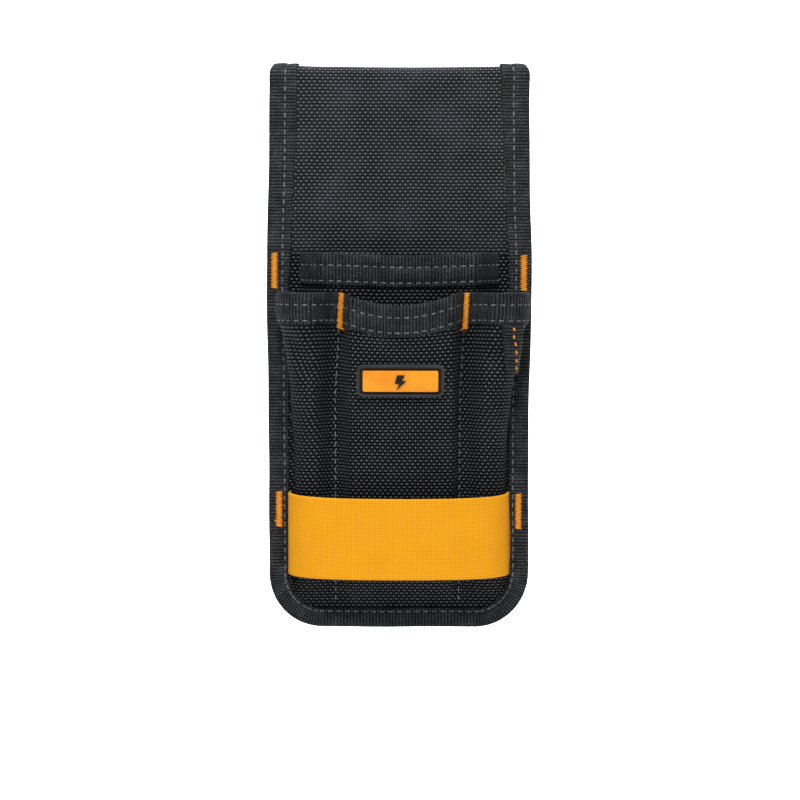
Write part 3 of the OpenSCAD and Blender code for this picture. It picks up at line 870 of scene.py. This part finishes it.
stitch_pitch = 4.0
stitch_size = (2.6, 0.62, 0.5)
picks = np.arange(int(stitch_pitch / (rib_pitch / 4) / 2), len(edge_at),
                  stitch_pitch / (edge_at[1] - edge_at[0])).astype(int)
along = np.gradient(p, axis=0)[picks]
front_places = p[picks] + u[picks] * stitch_in + n[picks] * (rise[picks] + TAPE - 0.08)
back_places = p[picks] + u[picks] * stitch_in - n[picks] * (drop[picks] + TAPE - 0.08)
edge_stitches = stitches(
    "edge_binding_stitches", np.concatenate([front_places, back_places]),
    np.concatenate([along, along]), np.concatenate([n[picks], -n[picks]]), *stitch_size)
dress(edge_stitches, grey_thread, "grey_thread")


# ------------------------------------------------------------- Pocket hems
# The same tape is folded over each pocket's top edge and sewn with two rows of lockstitch.
# It follows the pocket round its sleeves and sinks into the folds between them.

hem_rows = (4.6, 11.8)


def hem_tape(name, grid, first, last, back_len=9.0):
    """Tape over a pocket's top edge. Returns the tape, and its front face for the stitches."""
    normals = surface_normals(grid)
    height = run_length(grid, 0)
    top = height[-1]
    down = np.array([0, 0.2, 0.5, 1.2, 2.2, 3.4, 4.0, 4.6, 5.2, 6.2, 7.5, 9, 10.4, 11.2, 11.8, 12.4,
                     13.2, 13.7, 13.9])

    def on_cloth(distance, values):
        """Values at a distance below the top edge, column by column."""
        return np.array([[np.interp(top[c] - distance, height[:, c], values[:, c, j])
                          for j in range(3)] for c in range(grid.shape[1])])

    columns = range(first, last + 1)
    edge = grid[-1][first:last + 1]
    length = run_length(edge, 0)
    at = np.linspace(0, length[-1], int(length[-1] / (rib_pitch / 4)))

    def strip(distance):
        places = on_cloth(distance, grid)[first:last + 1]
        out = on_cloth(distance, normals)[first:last + 1]
        return (np.stack([np.interp(at, length, places[:, j]) for j in range(3)], axis=1),
                unit(np.stack([np.interp(at, length, out[:, j]) for j in range(3)], axis=1)))

    rib = rib_h * (ribs(at) - 0.5)[:, None]
    near, far = FABRIC / 2 + 0.03, FABRIC / 2 + rest_gap + TAPE
    needle = 0.5 + 0.5 * np.cos(2 * np.pi * at / stitch_pitch)[:, None]
    rings = []
    for distance in down[::-1]:
        centre, out = strip(distance)
        pulled = sum(np.exp(-((distance - row) / 0.8) ** 2) for row in hem_rows)
        round_off = TAPE * 0.8 if distance > 13.8 else TAPE * 0.25 if distance > 13.6 else 0
        puff = 0.18 * math.sin(math.pi * min(distance / hem_rows[0], 1)) + (
            0.2 * math.sin(math.pi * np.clip((distance - 4.6) / 7.2, 0, 1)))
        high = far - 0.12 + puff - round_off - pulled * (0.18 + 0.16 * needle) + rib
        rings.append(centre + out * high)
    centre, out = strip(0)
    for turn in (60, 30, 0, -30, -60):
        t = math.radians(turn)
        rings.append(centre + out * (far - 0.1) * math.sin(t)
                     + np.array([0, 0, 1]) * ((TAPE + 0.05) * math.cos(t) ** 0.8 + 0.5 * rib))
    for distance in (0.2, 1.2, 3.4, 4.6, 6, 8, back_len - 0.1, back_len):
        centre, out = strip(distance)
        round_off = TAPE * 0.8 if distance == back_len else 0
        rings.append(centre - out * (far - 0.1 - round_off + rib))
    for distance in (back_len - 0.1, 0.4):
        centre, out = strip(distance)
        rings.append(centre - out * near)
    for distance in (0.4, 13.7):
        centre, out = strip(distance)
        rings.append(centre + out * near)
    rings = np.stack(rings, axis=1)
    piece = tube(name, rings, at)
    step = at[1] - at[0]
    picks = np.arange(int(stitch_pitch / step / 2), len(at), stitch_pitch / step).astype(int)
    rows = []
    for row in hem_rows:
        centre, out = strip(row)
        along = np.gradient(centre, axis=0)
        rows.append((centre[picks] + out[picks] * (far - 0.2), along[picks], out[picks]))
    return piece, [np.concatenate(part) for part in zip(*rows)]


front_cut = 13
pliers_cut = 12
pliers_hem, rows = hem_tape("pliers_hem_tape", pliers_grid, pliers_cut,
                            pliers_grid.shape[1] - 1 - pliers_cut)
dress(pliers_hem, tape_cloth, "binding_tape", "pliers_hem")
dress(stitches("pliers_hem_stitches", *rows, *stitch_size), grey_thread, "grey_thread")

front_hem, rows = hem_tape("front_hem_tape", front_grid, front_cut,
                           front_grid.shape[1] - 1 - front_cut)
dress(front_hem, tape_cloth, "binding_tape", "front_hem")
dress(stitches("front_hem_stitches", *rows, *stitch_size), grey_thread, "grey_thread")

# The flap's lower edge is bound in the same tape, and two rows of stitches hold the flap down
# on the back, with the belt tunnel above them; one of the rows is drawn.
flap_half = half_w - 10.2
flap_hem_x = np.linspace(-flap_half, flap_half, int(2 * flap_half / (rib_pitch / 4)))
rib = 0.16 * (ribs(flap_hem_x + flap_half) - 0.5)
outline = [(8, 0.1), (7.9, 0.7), (7, 0.82), (5, 0.9), (4.2, 0.66), (3.4, 0.9), (2, 0.98), (0.6, 0.9),
           (-0.4, 0.62), (-0.85, 0.1), (-0.95, -0.5), (-0.85, -1.1), (-0.4, -1.6), (1, -1.85),
           (4, -1.85), (7.9, -1.8), (8, -1.2), (7.9, -1.05), (0.2, -1.05), (0.2, 0.03), (7.9, 0.03)]
rings = np.array([[(x, flap_seat + (b + r if b > 0.2 else b), flap_z + a) for a, b in outline]
                  for x, r in zip(flap_hem_x, rib)])
flap_hem = tube("flap_hem_tape", rings, flap_hem_x + flap_half)
dress(flap_hem, tape_cloth, "binding_tape", "flap_hem")
seam_xs = np.arange(-flap_half + 3, flap_half - 2, stitch_pitch)
places = [(x, flap_seat + 0.72, flap_z + 4.2) for x in seam_xs]
dress(stitches("flap_hem_stitches", places, [(1, 0, 0)] * len(places), [(0, 1, 0)] * len(places),
               *stitch_size), grey_thread, "grey_thread")


# ----------------------------------------------------------- Divider seams
# Between the sleeves and the centre the pocket is sewn down with one row of grey lockstitch
# at the bottom of each fold.

front_normals = surface_normals(front_grid)


def nearest_column(side):
    """The grid column that runs down the bottom of the fold on one side."""
    row = front_grid[len(front_grid) // 2]
    wanted = (-1, 1)[side] * seam_at(side, row[0, 2])
    return int(np.argmin(np.abs(row[:, 0] - wanted)))


def divider(side, name, node):
    column = nearest_column(side)
    line, out = front_grid[:, column], front_normals[:, column]
    length = run_length(line, 0)
    low = np.interp(flat_h + 2, line[:, 2], length)
    high = np.interp(front_top - hem_h - 3, line[:, 2], length)
    at = np.arange(low, high, stitch_pitch)
    places = np.stack([np.interp(at, length, line[:, j]) for j in range(3)], axis=1)
    outs = unit(np.stack([np.interp(at, length, out[:, j]) for j in range(3)], axis=1))
    ways = np.gradient(places, axis=0)
    piece = stitches(name, places + outs * (FABRIC / 2 + 0.08), ways, outs, 2.7, 0.62, 0.5)
    dress(piece, grey_thread, "grey_thread", node)


divider(0, "left_divider_stitches", "left_divider_seam")
divider(1, "right_divider_stitches", "right_divider_seam")


# ---------------------------------------------------------------- Bar tacks
# Orange bar tacks lock the pockets' and the strap's corners: a tight zigzag of thread sewn
# over a few long stitches, with the odd loose end.

tack_w = 2.8


def stretch(piece, lengths, places, ways):
    """Draws each strand of a tack out along its own way, to its own length, ends tucked in."""
    per = len(capsule_points)
    points = np.array([v.co[:] for v in piece.data.vertices]).reshape(-1, per, 3)
    centres, ways = place(places), unit(np.asarray(ways))
    reach = np.einsum("kij,kj->ki", points - centres[:, None], ways)
    grow = (np.asarray(lengths) - 1.0)[:, None]
    points += ways[:, None] * (reach * grow)[..., None]
    piece.data.vertices.foreach_set("co", points.reshape(-1))
    piece.data.update()


def bar_tack(name, node, low, high, out, width=tack_w, tails=()):
    """A tack from low to high on the cloth, whose face looks along out."""
    low, high, out = (np.asarray(v, float) for v in (low, high, out))
    way = high - low
    length = np.linalg.norm(way)
    way = way / length
    out = unit(out - way * (out @ way))
    across = np.cross(out, way)
    count = int(length / 0.5)
    t = (np.arange(count) + 0.5) / count
    places = low + way * (t * length)[:, None] + out * 0.28
    wobble = 0.10 * np.sin(t * 41 + length)
    places = places + across * wobble[:, None]
    slant = np.where(np.arange(count) % 2 == 0, 0.16, -0.16)
    ways = across + way * slant[:, None]
    outs = np.repeat(out[None], count, axis=0)
    under = [low + way * length * f + out * 0.1 for f in (0.25, 0.5, 0.75)]
    tail_places, tail_ways = [], []
    for start, direction, reach in tails:
        start = low + way * length * start
        direction = unit(np.asarray(direction, float))
        for k in range(3):
            tail_places.append(start + direction * reach * (k + 0.5) / 3 + out * (0.45 + 0.1 * k))
            tail_ways.append(direction)
    places = np.concatenate([places, under] + ([tail_places] if tail_places else []))
    ways = np.concatenate([ways, [way] * 3] + ([tail_ways] if tail_ways else []))
    outs = np.concatenate([outs, [out] * (len(places) - count)])
    piece = stitches(name, places, ways, outs, 1.0, 0.62, 0.62, dive=0.0)
    stretch(piece, [width] * count + [length * 0.5] * 3 + [tails[0][2] / 2 if tails else 1]
            * (len(places) - count - 3), places, ways)
    return dress(piece, orange_thread, "orange_thread", node)


def bench_box(node):
    """A CAD node's two corners in bench millimetres."""
    return [(np.array(corner) - np.array([0, front_y, bottom_z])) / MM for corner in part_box(node)]


def edge_tack(name, node, tails=()):
    """A tack on the edge tape, at its CAD node's place."""
    lo, hi = bench_box(node)
    x = (lo[0] + hi[0]) / 2
    x += math.copysign(flare((lo[2] + hi[2]) / 2), x)
    y = -(tape_rise((lo[2] + hi[2]) / 2) + TAPE)
    bar_tack(name, node, (x, y, lo[2]), (x, y, hi[2]), (0, -1, 0), 3.3, tails)


edge_tack("pliers_tack_left_thread", "pliers_tack_left")
edge_tack("pliers_tack_right_thread", "pliers_tack_right")
edge_tack("strap_tack_left_thread", "strap_tack_left", tails=[(0.12, (-1, 0, 0.5), 2.2)])
edge_tack("strap_tack_right_thread", "strap_tack_right")


def fold_tack(side, name, node, tails):
    """A tack across a fold of the front hem: it bridges the fold and rests on its two walls."""
    lo, hi = bench_box(node)
    hem_points = np.array([v.co[:] for v in front_hem.data.vertices])
    hem_points = (hem_points - np.array([0, front_y, bottom_z])) / MM
    ends = []
    for z in (lo[2], hi[2]):
        x = (-1, 1)[side] * seam_at(side, z)
        near = (np.abs(hem_points[:, 0] - x) < 1.2) & (np.abs(hem_points[:, 2] - z) < 3)
        ends.append((x, np.percentile(hem_points[near, 1], 4) - 0.1, z))
    facing = unit(np.array([0, -1, 0.05]))
    bar_tack(name, node, ends[0], ends[1], facing, tack_w, tails)


fold_tack(0, "front_tack_left_thread", "front_tack_left",
          [(0.02, (1, 0, -0.35), 2.6), (0.55, (-1, 0, 0.6), 1.6)])
fold_tack(1, "front_tack_right_thread", "front_tack_right", [(0.02, (-1, 0, -0.4), 2.4)])


def flap_tack(side, name, node):
    lo, hi = bench_box(node)
    z = (lo[2] + hi[2]) / 2
    y = flap_seat + rest_gap + TAPE
    bar_tack(name, node, (lo[0], y, z), (hi[0], y, z), (0, 1, 0), tack_w)


flap_tack(-1, "flap_tack_left_thread", "flap_tack_left")
flap_tack(1, "flap_tack_right_thread", "flap_tack_right")


# ----------------------------------------------------------- Tape clip strap
# Orange nylon webbing, 38 mm wide, is caught under the edge tape at both sides and stands clear
# in the middle, so a tape measure's clip slides down behind it. Its dyed yarns are packed tight,
# so the eye sees an even matt orange with a fine grid.

STRAP = 1.4
strap_base = stack_front + STRAP / 2
strap_out = half_w - tape_low_w - 1
strap_half = [(half_w - 2.2, 0), (strap_out + 0.3, 0), (strap_out, 1), (strap_out - 0.1, 5.6),
              (strap_out - 3.6, 11), (strap_out - 8, 14.4), (strap_out - 16, 17.2),
              (strap_out - 28, 19.2), (8, 19.8)]
line = [(-x, -strap_base - d, 0) for x, d in strap_half]
line += [(x, -strap_base - d, 0) for x, d in reversed(strap_half)]
strap_rows, strap_at = resample(cut_corners(np.array(line, float), 3), 0.8)
strap_p = strap_rows[:, :3]
strap_n = unit(np.cross(np.gradient(strap_p, axis=0), (0, 0, 1)))
strap_up = np.array([0, 0, 1.0])
strap_middle, strap_tall = (strap_low + strap_top) / 2, (strap_top - strap_low) / 2
# Webbing edges are a little thicker and rounded where the weft turns back
rim = [(1, 0), (0.985, 0.6), (0.955, 0.72), (0.9, 0.62), (0.6, 0.64), (0.3, 0.66), (0, 0.66)]
around = rim + [(-a, b) for a, b in rim[-2::-1]]
around += [(-a, -b) for a, b in rim[1:]] + [(a, -b) for a, b in rim[-2:0:-1]]
around = np.array(around)
sag = 2.4 * np.clip((-strap_p[:, 1] - strap_base) / 19.8, 0, 1) ** 1.5
shape = 0.35 * np.sin(strap_p[:, 0] / 13)
centre = strap_p + strap_up * strap_middle - strap_up * sag[:, None] * 0.6
tall = strap_tall - sag * 0.15
lean = around[None, :, 0] * (0.9 * sag / 2.4 + shape * 0.3)[:, None]
rings = (centre[:, None] + strap_up * (around[None, :, 0] * tall[:, None])[..., None]
         + strap_n[:, None] * (around[None, :, 1] * STRAP / 1.32 + lean)[..., None])
# Its weave gaps are painted a darker orange as shade and its crowns a lighter orange as highlight
strap_cloth = woven("orange_nylon_webbing", [(0.0, "#bd6409"), (0.3, "#de9014"), (0.8, "#f0a924")],
                    (1.1, 0.95), 0.12, roughness=0.6, shine=0.12, warp_highlight_share=0.8, wander=0.6)
strap = tube("tape_clip_strap_webbing", rings, strap_at)
dress(strap, strap_cloth, "orange_webbing", "tape_clip_strap")


# ---------------------------------------------------------------- Side tab
# A short tab of dark webbing hangs from the hem over the right sleeve, sewn down its length
# with an orange running stitch.

tab_w, tab_t = 11.2, 1.1
tab_edge = (45.9, 48.0)
tab_z = np.arange(front_top - hem_h - 0.1, front_top - hem_h - 23.5, -0.5)
tab_columns = slice(nearest_column(1) + 2, front_grid.shape[1] - front_cut)


def on_sleeve(z, edge, across):
    """Places and outward ways on the right sleeve at height z, across mm round from x = edge."""
    points, outs = (np.array([[np.interp(z, front_grid[:, c, 2], values[:, c, j])
                               for j in range(3)] for c in range(front_grid.shape[1])])[tab_columns]
                    for values in (front_grid, front_normals))
    girth = run_length(points, 0)
    widest = int(np.argmax(points[:, 0]))
    start = np.interp(edge, points[:widest, 0], girth[:widest])
    at = start + across
    return (np.stack([np.interp(at, girth, points[:, j]) for j in range(3)], axis=1),
            unit(np.stack([np.interp(at, girth, outs[:, j]) for j in range(3)], axis=1)))


tab_share = np.linspace(0, 1, len(tab_z))
rings, tab_centre, tab_outs = [], [], []
for z, down in zip(tab_z, tab_share):
    edge = tab_edge[0] + (tab_edge[1] - tab_edge[0]) * down
    base, out = on_sleeve(z, edge, (around[:, 0] + 1) * tab_w / 2)
    rib = 0.12 * math.sqrt(abs(math.sin(math.pi * (tab_z[0] - z) / rib_pitch)))
    off = FABRIC / 2 + 0.1 + tab_t / 2 + 0.6 * down ** 2
    thick = around[:, 1:2] / 0.66 * (tab_t / 2 + rib - 0.06)
    rings.append(base + out * (off + thick))
    middle, out = on_sleeve(z, edge, np.array([tab_w / 2]))
    tab_centre.append(middle[0] + out[0] * (off + tab_t / 2))
    tab_outs.append(out[0])
tab = tube("side_tab_webbing", np.array(rings), tab_z[0] - tab_z)
dress(tab, tape_cloth, "binding_tape", "side_tab")
dash_z = tab_z[0] - 1.6 - 3.65 * np.arange(6)
tab_centre, tab_outs = np.array(tab_centre)[::-1], np.array(tab_outs)[::-1]
dash_p, dash_n = (np.stack([np.interp(dash_z, tab_z[::-1], values[:, j]) for j in range(3)], axis=1)
                  for values in (tab_centre, tab_outs))
dash_ways = np.array([(0.25 if k % 2 else 0.5, 0, -1) for k in range(6)])
dashes = stitches("tab_running_stitch", dash_p, dash_ways, dash_n, 2.4, 1.2, 0.8, dive=0.2)
dress(dashes, orange_thread, "orange_thread", "tab_stitching")


# -------------------------------------------------------------------- Badge
# A moulded rubber badge is sewn to the centre pocket: a black base with a raised rim, and an
# orange field with a plain lightning flash, which stands for electrical work.

base_lo, base_hi = bench_box("badge_base")
badge_x = (base_lo[0] + base_hi[0]) / 2
badge_w, badge_h = base_hi[0] - base_lo[0], 14.8
badge_z = (base_lo[2] + base_hi[2]) / 2


def cloth_at(x, z):
    """Place and outward way on the front pocket's face at x and z."""
    middle = front_grid[:, front_grid.shape[1] // 2 - 30: front_grid.shape[1] // 2 + 30]
    gap = (middle[..., 0] - x) ** 2 + (middle[..., 2] - z) ** 2
    k, c = np.unravel_index(np.argmin(gap), gap.shape)
    return middle[k, c], front_normals[k, c + front_grid.shape[1] // 2 - 30]


upper, lower = cloth_at(badge_x, badge_z + 9)[0], cloth_at(badge_x, badge_z - 9)[0]
badge_up = Vector(unit(upper - lower))
badge_up.x = 0
badge_up.normalize()
badge_out = Vector((1, 0, 0)).cross(badge_up)
badge_at = (upper + lower) / 2
badge_at[0] = badge_x


def moulded(name, width, height, thick, low, corner_radius, rim=None):
    """A rounded moulded plate that lies on the cloth, low millimetres off it: a cube that is
    scaled, has its corners rounded and its top edge softened, and may have a raised rim."""
    deselect()
    bpy.ops.mesh.primitive_cube_add(size=1)
    piece = bpy.context.object
    piece.name = name
    bpy.ops.object.mode_set(mode="EDIT")
    bpy.ops.mesh.select_all(action="SELECT")
    bpy.ops.transform.resize(value=(width, height, thick))
    bpy.ops.transform.translate(value=(0, 0, low + thick / 2))
    bpy.ops.mesh.select_all(action="DESELECT")
    bpy.ops.object.mode_set(mode="OBJECT")
    for edge in piece.data.edges:
        a, b = (piece.data.vertices[i].co for i in edge.vertices)
        edge.select = abs(a.x - b.x) < 1e-4 and abs(a.y - b.y) < 1e-4
    bpy.ops.object.mode_set(mode="EDIT")
    bpy.ops.mesh.select_mode(type="EDGE")
    bpy.ops.mesh.bevel(offset=corner_radius, segments=6, profile=0.5)
    bpy.ops.mesh.select_all(action="DESELECT")
    bpy.ops.object.mode_set(mode="OBJECT")
    for face in piece.data.polygons:
        face.select = face.normal.z > 0.9
    bpy.ops.object.mode_set(mode="EDIT")
    bpy.ops.mesh.select_mode(type="FACE")
    if rim:
        bpy.ops.mesh.inset(thickness=0.25)
        bpy.ops.mesh.inset(thickness=rim[0] - 0.5)
        bpy.ops.mesh.inset(thickness=0.3, depth=-rim[1])
    bpy.ops.mesh.select_all(action="DESELECT")
    bpy.ops.object.mode_set(mode="OBJECT")
    soft = piece.modifiers.new("soft", "BEVEL")
    soft.width = 0.22
    soft.segments = 3
    soft.limit_method = "ANGLE"
    soft.angle_limit = math.radians(35)
    bpy.ops.object.modifier_apply(modifier="soft")
    bpy.ops.object.shade_smooth_by_angle(angle=math.radians(40))
    return piece


def lay_on_pocket(piece):
    """Moves a plate's mesh from flat on the bench to its place on the pocket's face."""
    points = np.array([v.co[:] for v in piece.data.vertices])
    # The badge bends a little with the cloth: its ends drop back and its middle sags
    lift = points[:, 2] - 0.0009 * points[:, 0] ** 2
    sagged = points[:, 1] + 0.0016 * points[:, 0] ** 2 - 0.3
    world = (badge_at + points[:, :1] * np.array([1, 0, 0]) + sagged[:, None] * np.array(badge_up)
             + lift[:, None] * np.array(badge_out))
    piece.data.vertices.foreach_set("co", place(world).reshape(-1))
    piece.data.update()


def moulded_rubber(name, stops, roughness):
    """Moulded rubber: an even matt face with a fine spark-eroded grain about 0.3 mm across."""
    material, tree = blank_material(name)
    where = add_node(tree, "TexCoord").outputs["Object"]
    grain = add_node(tree, "TexNoise", {"Vector": where, "Scale": 1 / (0.3 * MM), "Detail": 2.0})
    cloud = add_node(tree, "TexNoise", {"Vector": where, "Scale": 1 / (8 * MM), "Detail": 1.0})
    colour = add_node(tree, "ValToRGB", {"Fac": cloud}, stops)
    relief = add_node(tree, "Bump", {"Height": grain, "Distance": 0.04 * MM, "Strength": 0.5})
    surface = add_node(tree, "BsdfPrincipled", {
        "Base Color": colour, "Roughness": roughness,
        "Normal": relief.outputs[0], "Specular IOR Level": 0.3})
    add_node(tree, "OutputMaterial", {"Surface": surface.outputs["BSDF"]})
    return material


black_rubber = moulded_rubber("black_moulded_rubber", [(0.3, "#08090a"), (0.7, "#0e0f11")], 0.5)
grey_rubber = moulded_rubber("grey_moulded_rubber_rim", [(0.3, "#25282a"), (0.7, "#303336")], 0.6)
orange_rubber = moulded_rubber("orange_moulded_rubber", [(0.3, "#e88a14"), (0.7, "#f29c1a")], 0.5)

badge_base = moulded("badge_rubber_base", badge_w, badge_h, 2.0, FABRIC / 2 + rest_gap, 3.0, (1.6, 0.7))
badge_base.data.materials.append(black_rubber)
badge_base.data.materials.append(grey_rubber)
for face in badge_base.data.polygons:
    reach = max(abs(face.center.x) - (badge_w / 2 - 1.5), abs(face.center.y) - (badge_h / 2 - 1.5))
    face.material_index = 1 if reach > 0 else 0
lay_on_pocket(badge_base)
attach(badge_base, ROOT)
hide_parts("badge_base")

badge_plate = moulded("badge_orange_field", badge_w - 5.6, badge_h - 5.2, 1.4, FABRIC / 2 + 1.4, 0.8)
lay_on_pocket(badge_plate)
dress(badge_plate, orange_rubber, "badge_orange", "badge_plate")

# The flash: a filled circle of seven corners, pulled out to the outline, thickened and softened
flash = [(-1.6, 3.4), (1.9, 3.4), (0.6, 0.75), (2.6, 0.75), (-1.8, -3.6), (-0.5, -0.55), (-2.6, -0.55)]
deselect()
bpy.ops.mesh.primitive_circle_add(vertices=len(flash), fill_type="NGON", calc_uvs=False)
badge_flash = bpy.context.object
badge_flash.name = "badge_flash"
badge_flash.data.name = "badge_flash"
for corner, (x, y) in zip(badge_flash.data.vertices, flash[::-1]):
    corner.co = (x, y, FABRIC / 2 + 2.75)
badge_flash.data.update()
thick = badge_flash.modifiers.new("thick", "SOLIDIFY")
thick.thickness = 0.5
thick.offset = 0
bpy.ops.object.modifier_apply(modifier="thick")
soft = badge_flash.modifiers.new("soft", "BEVEL")
soft.width = 0.12
soft.segments = 2
bpy.ops.object.modifier_apply(modifier="soft")
lay_on_pocket(badge_flash)
dress(badge_flash, black_rubber, "badge_rubber")
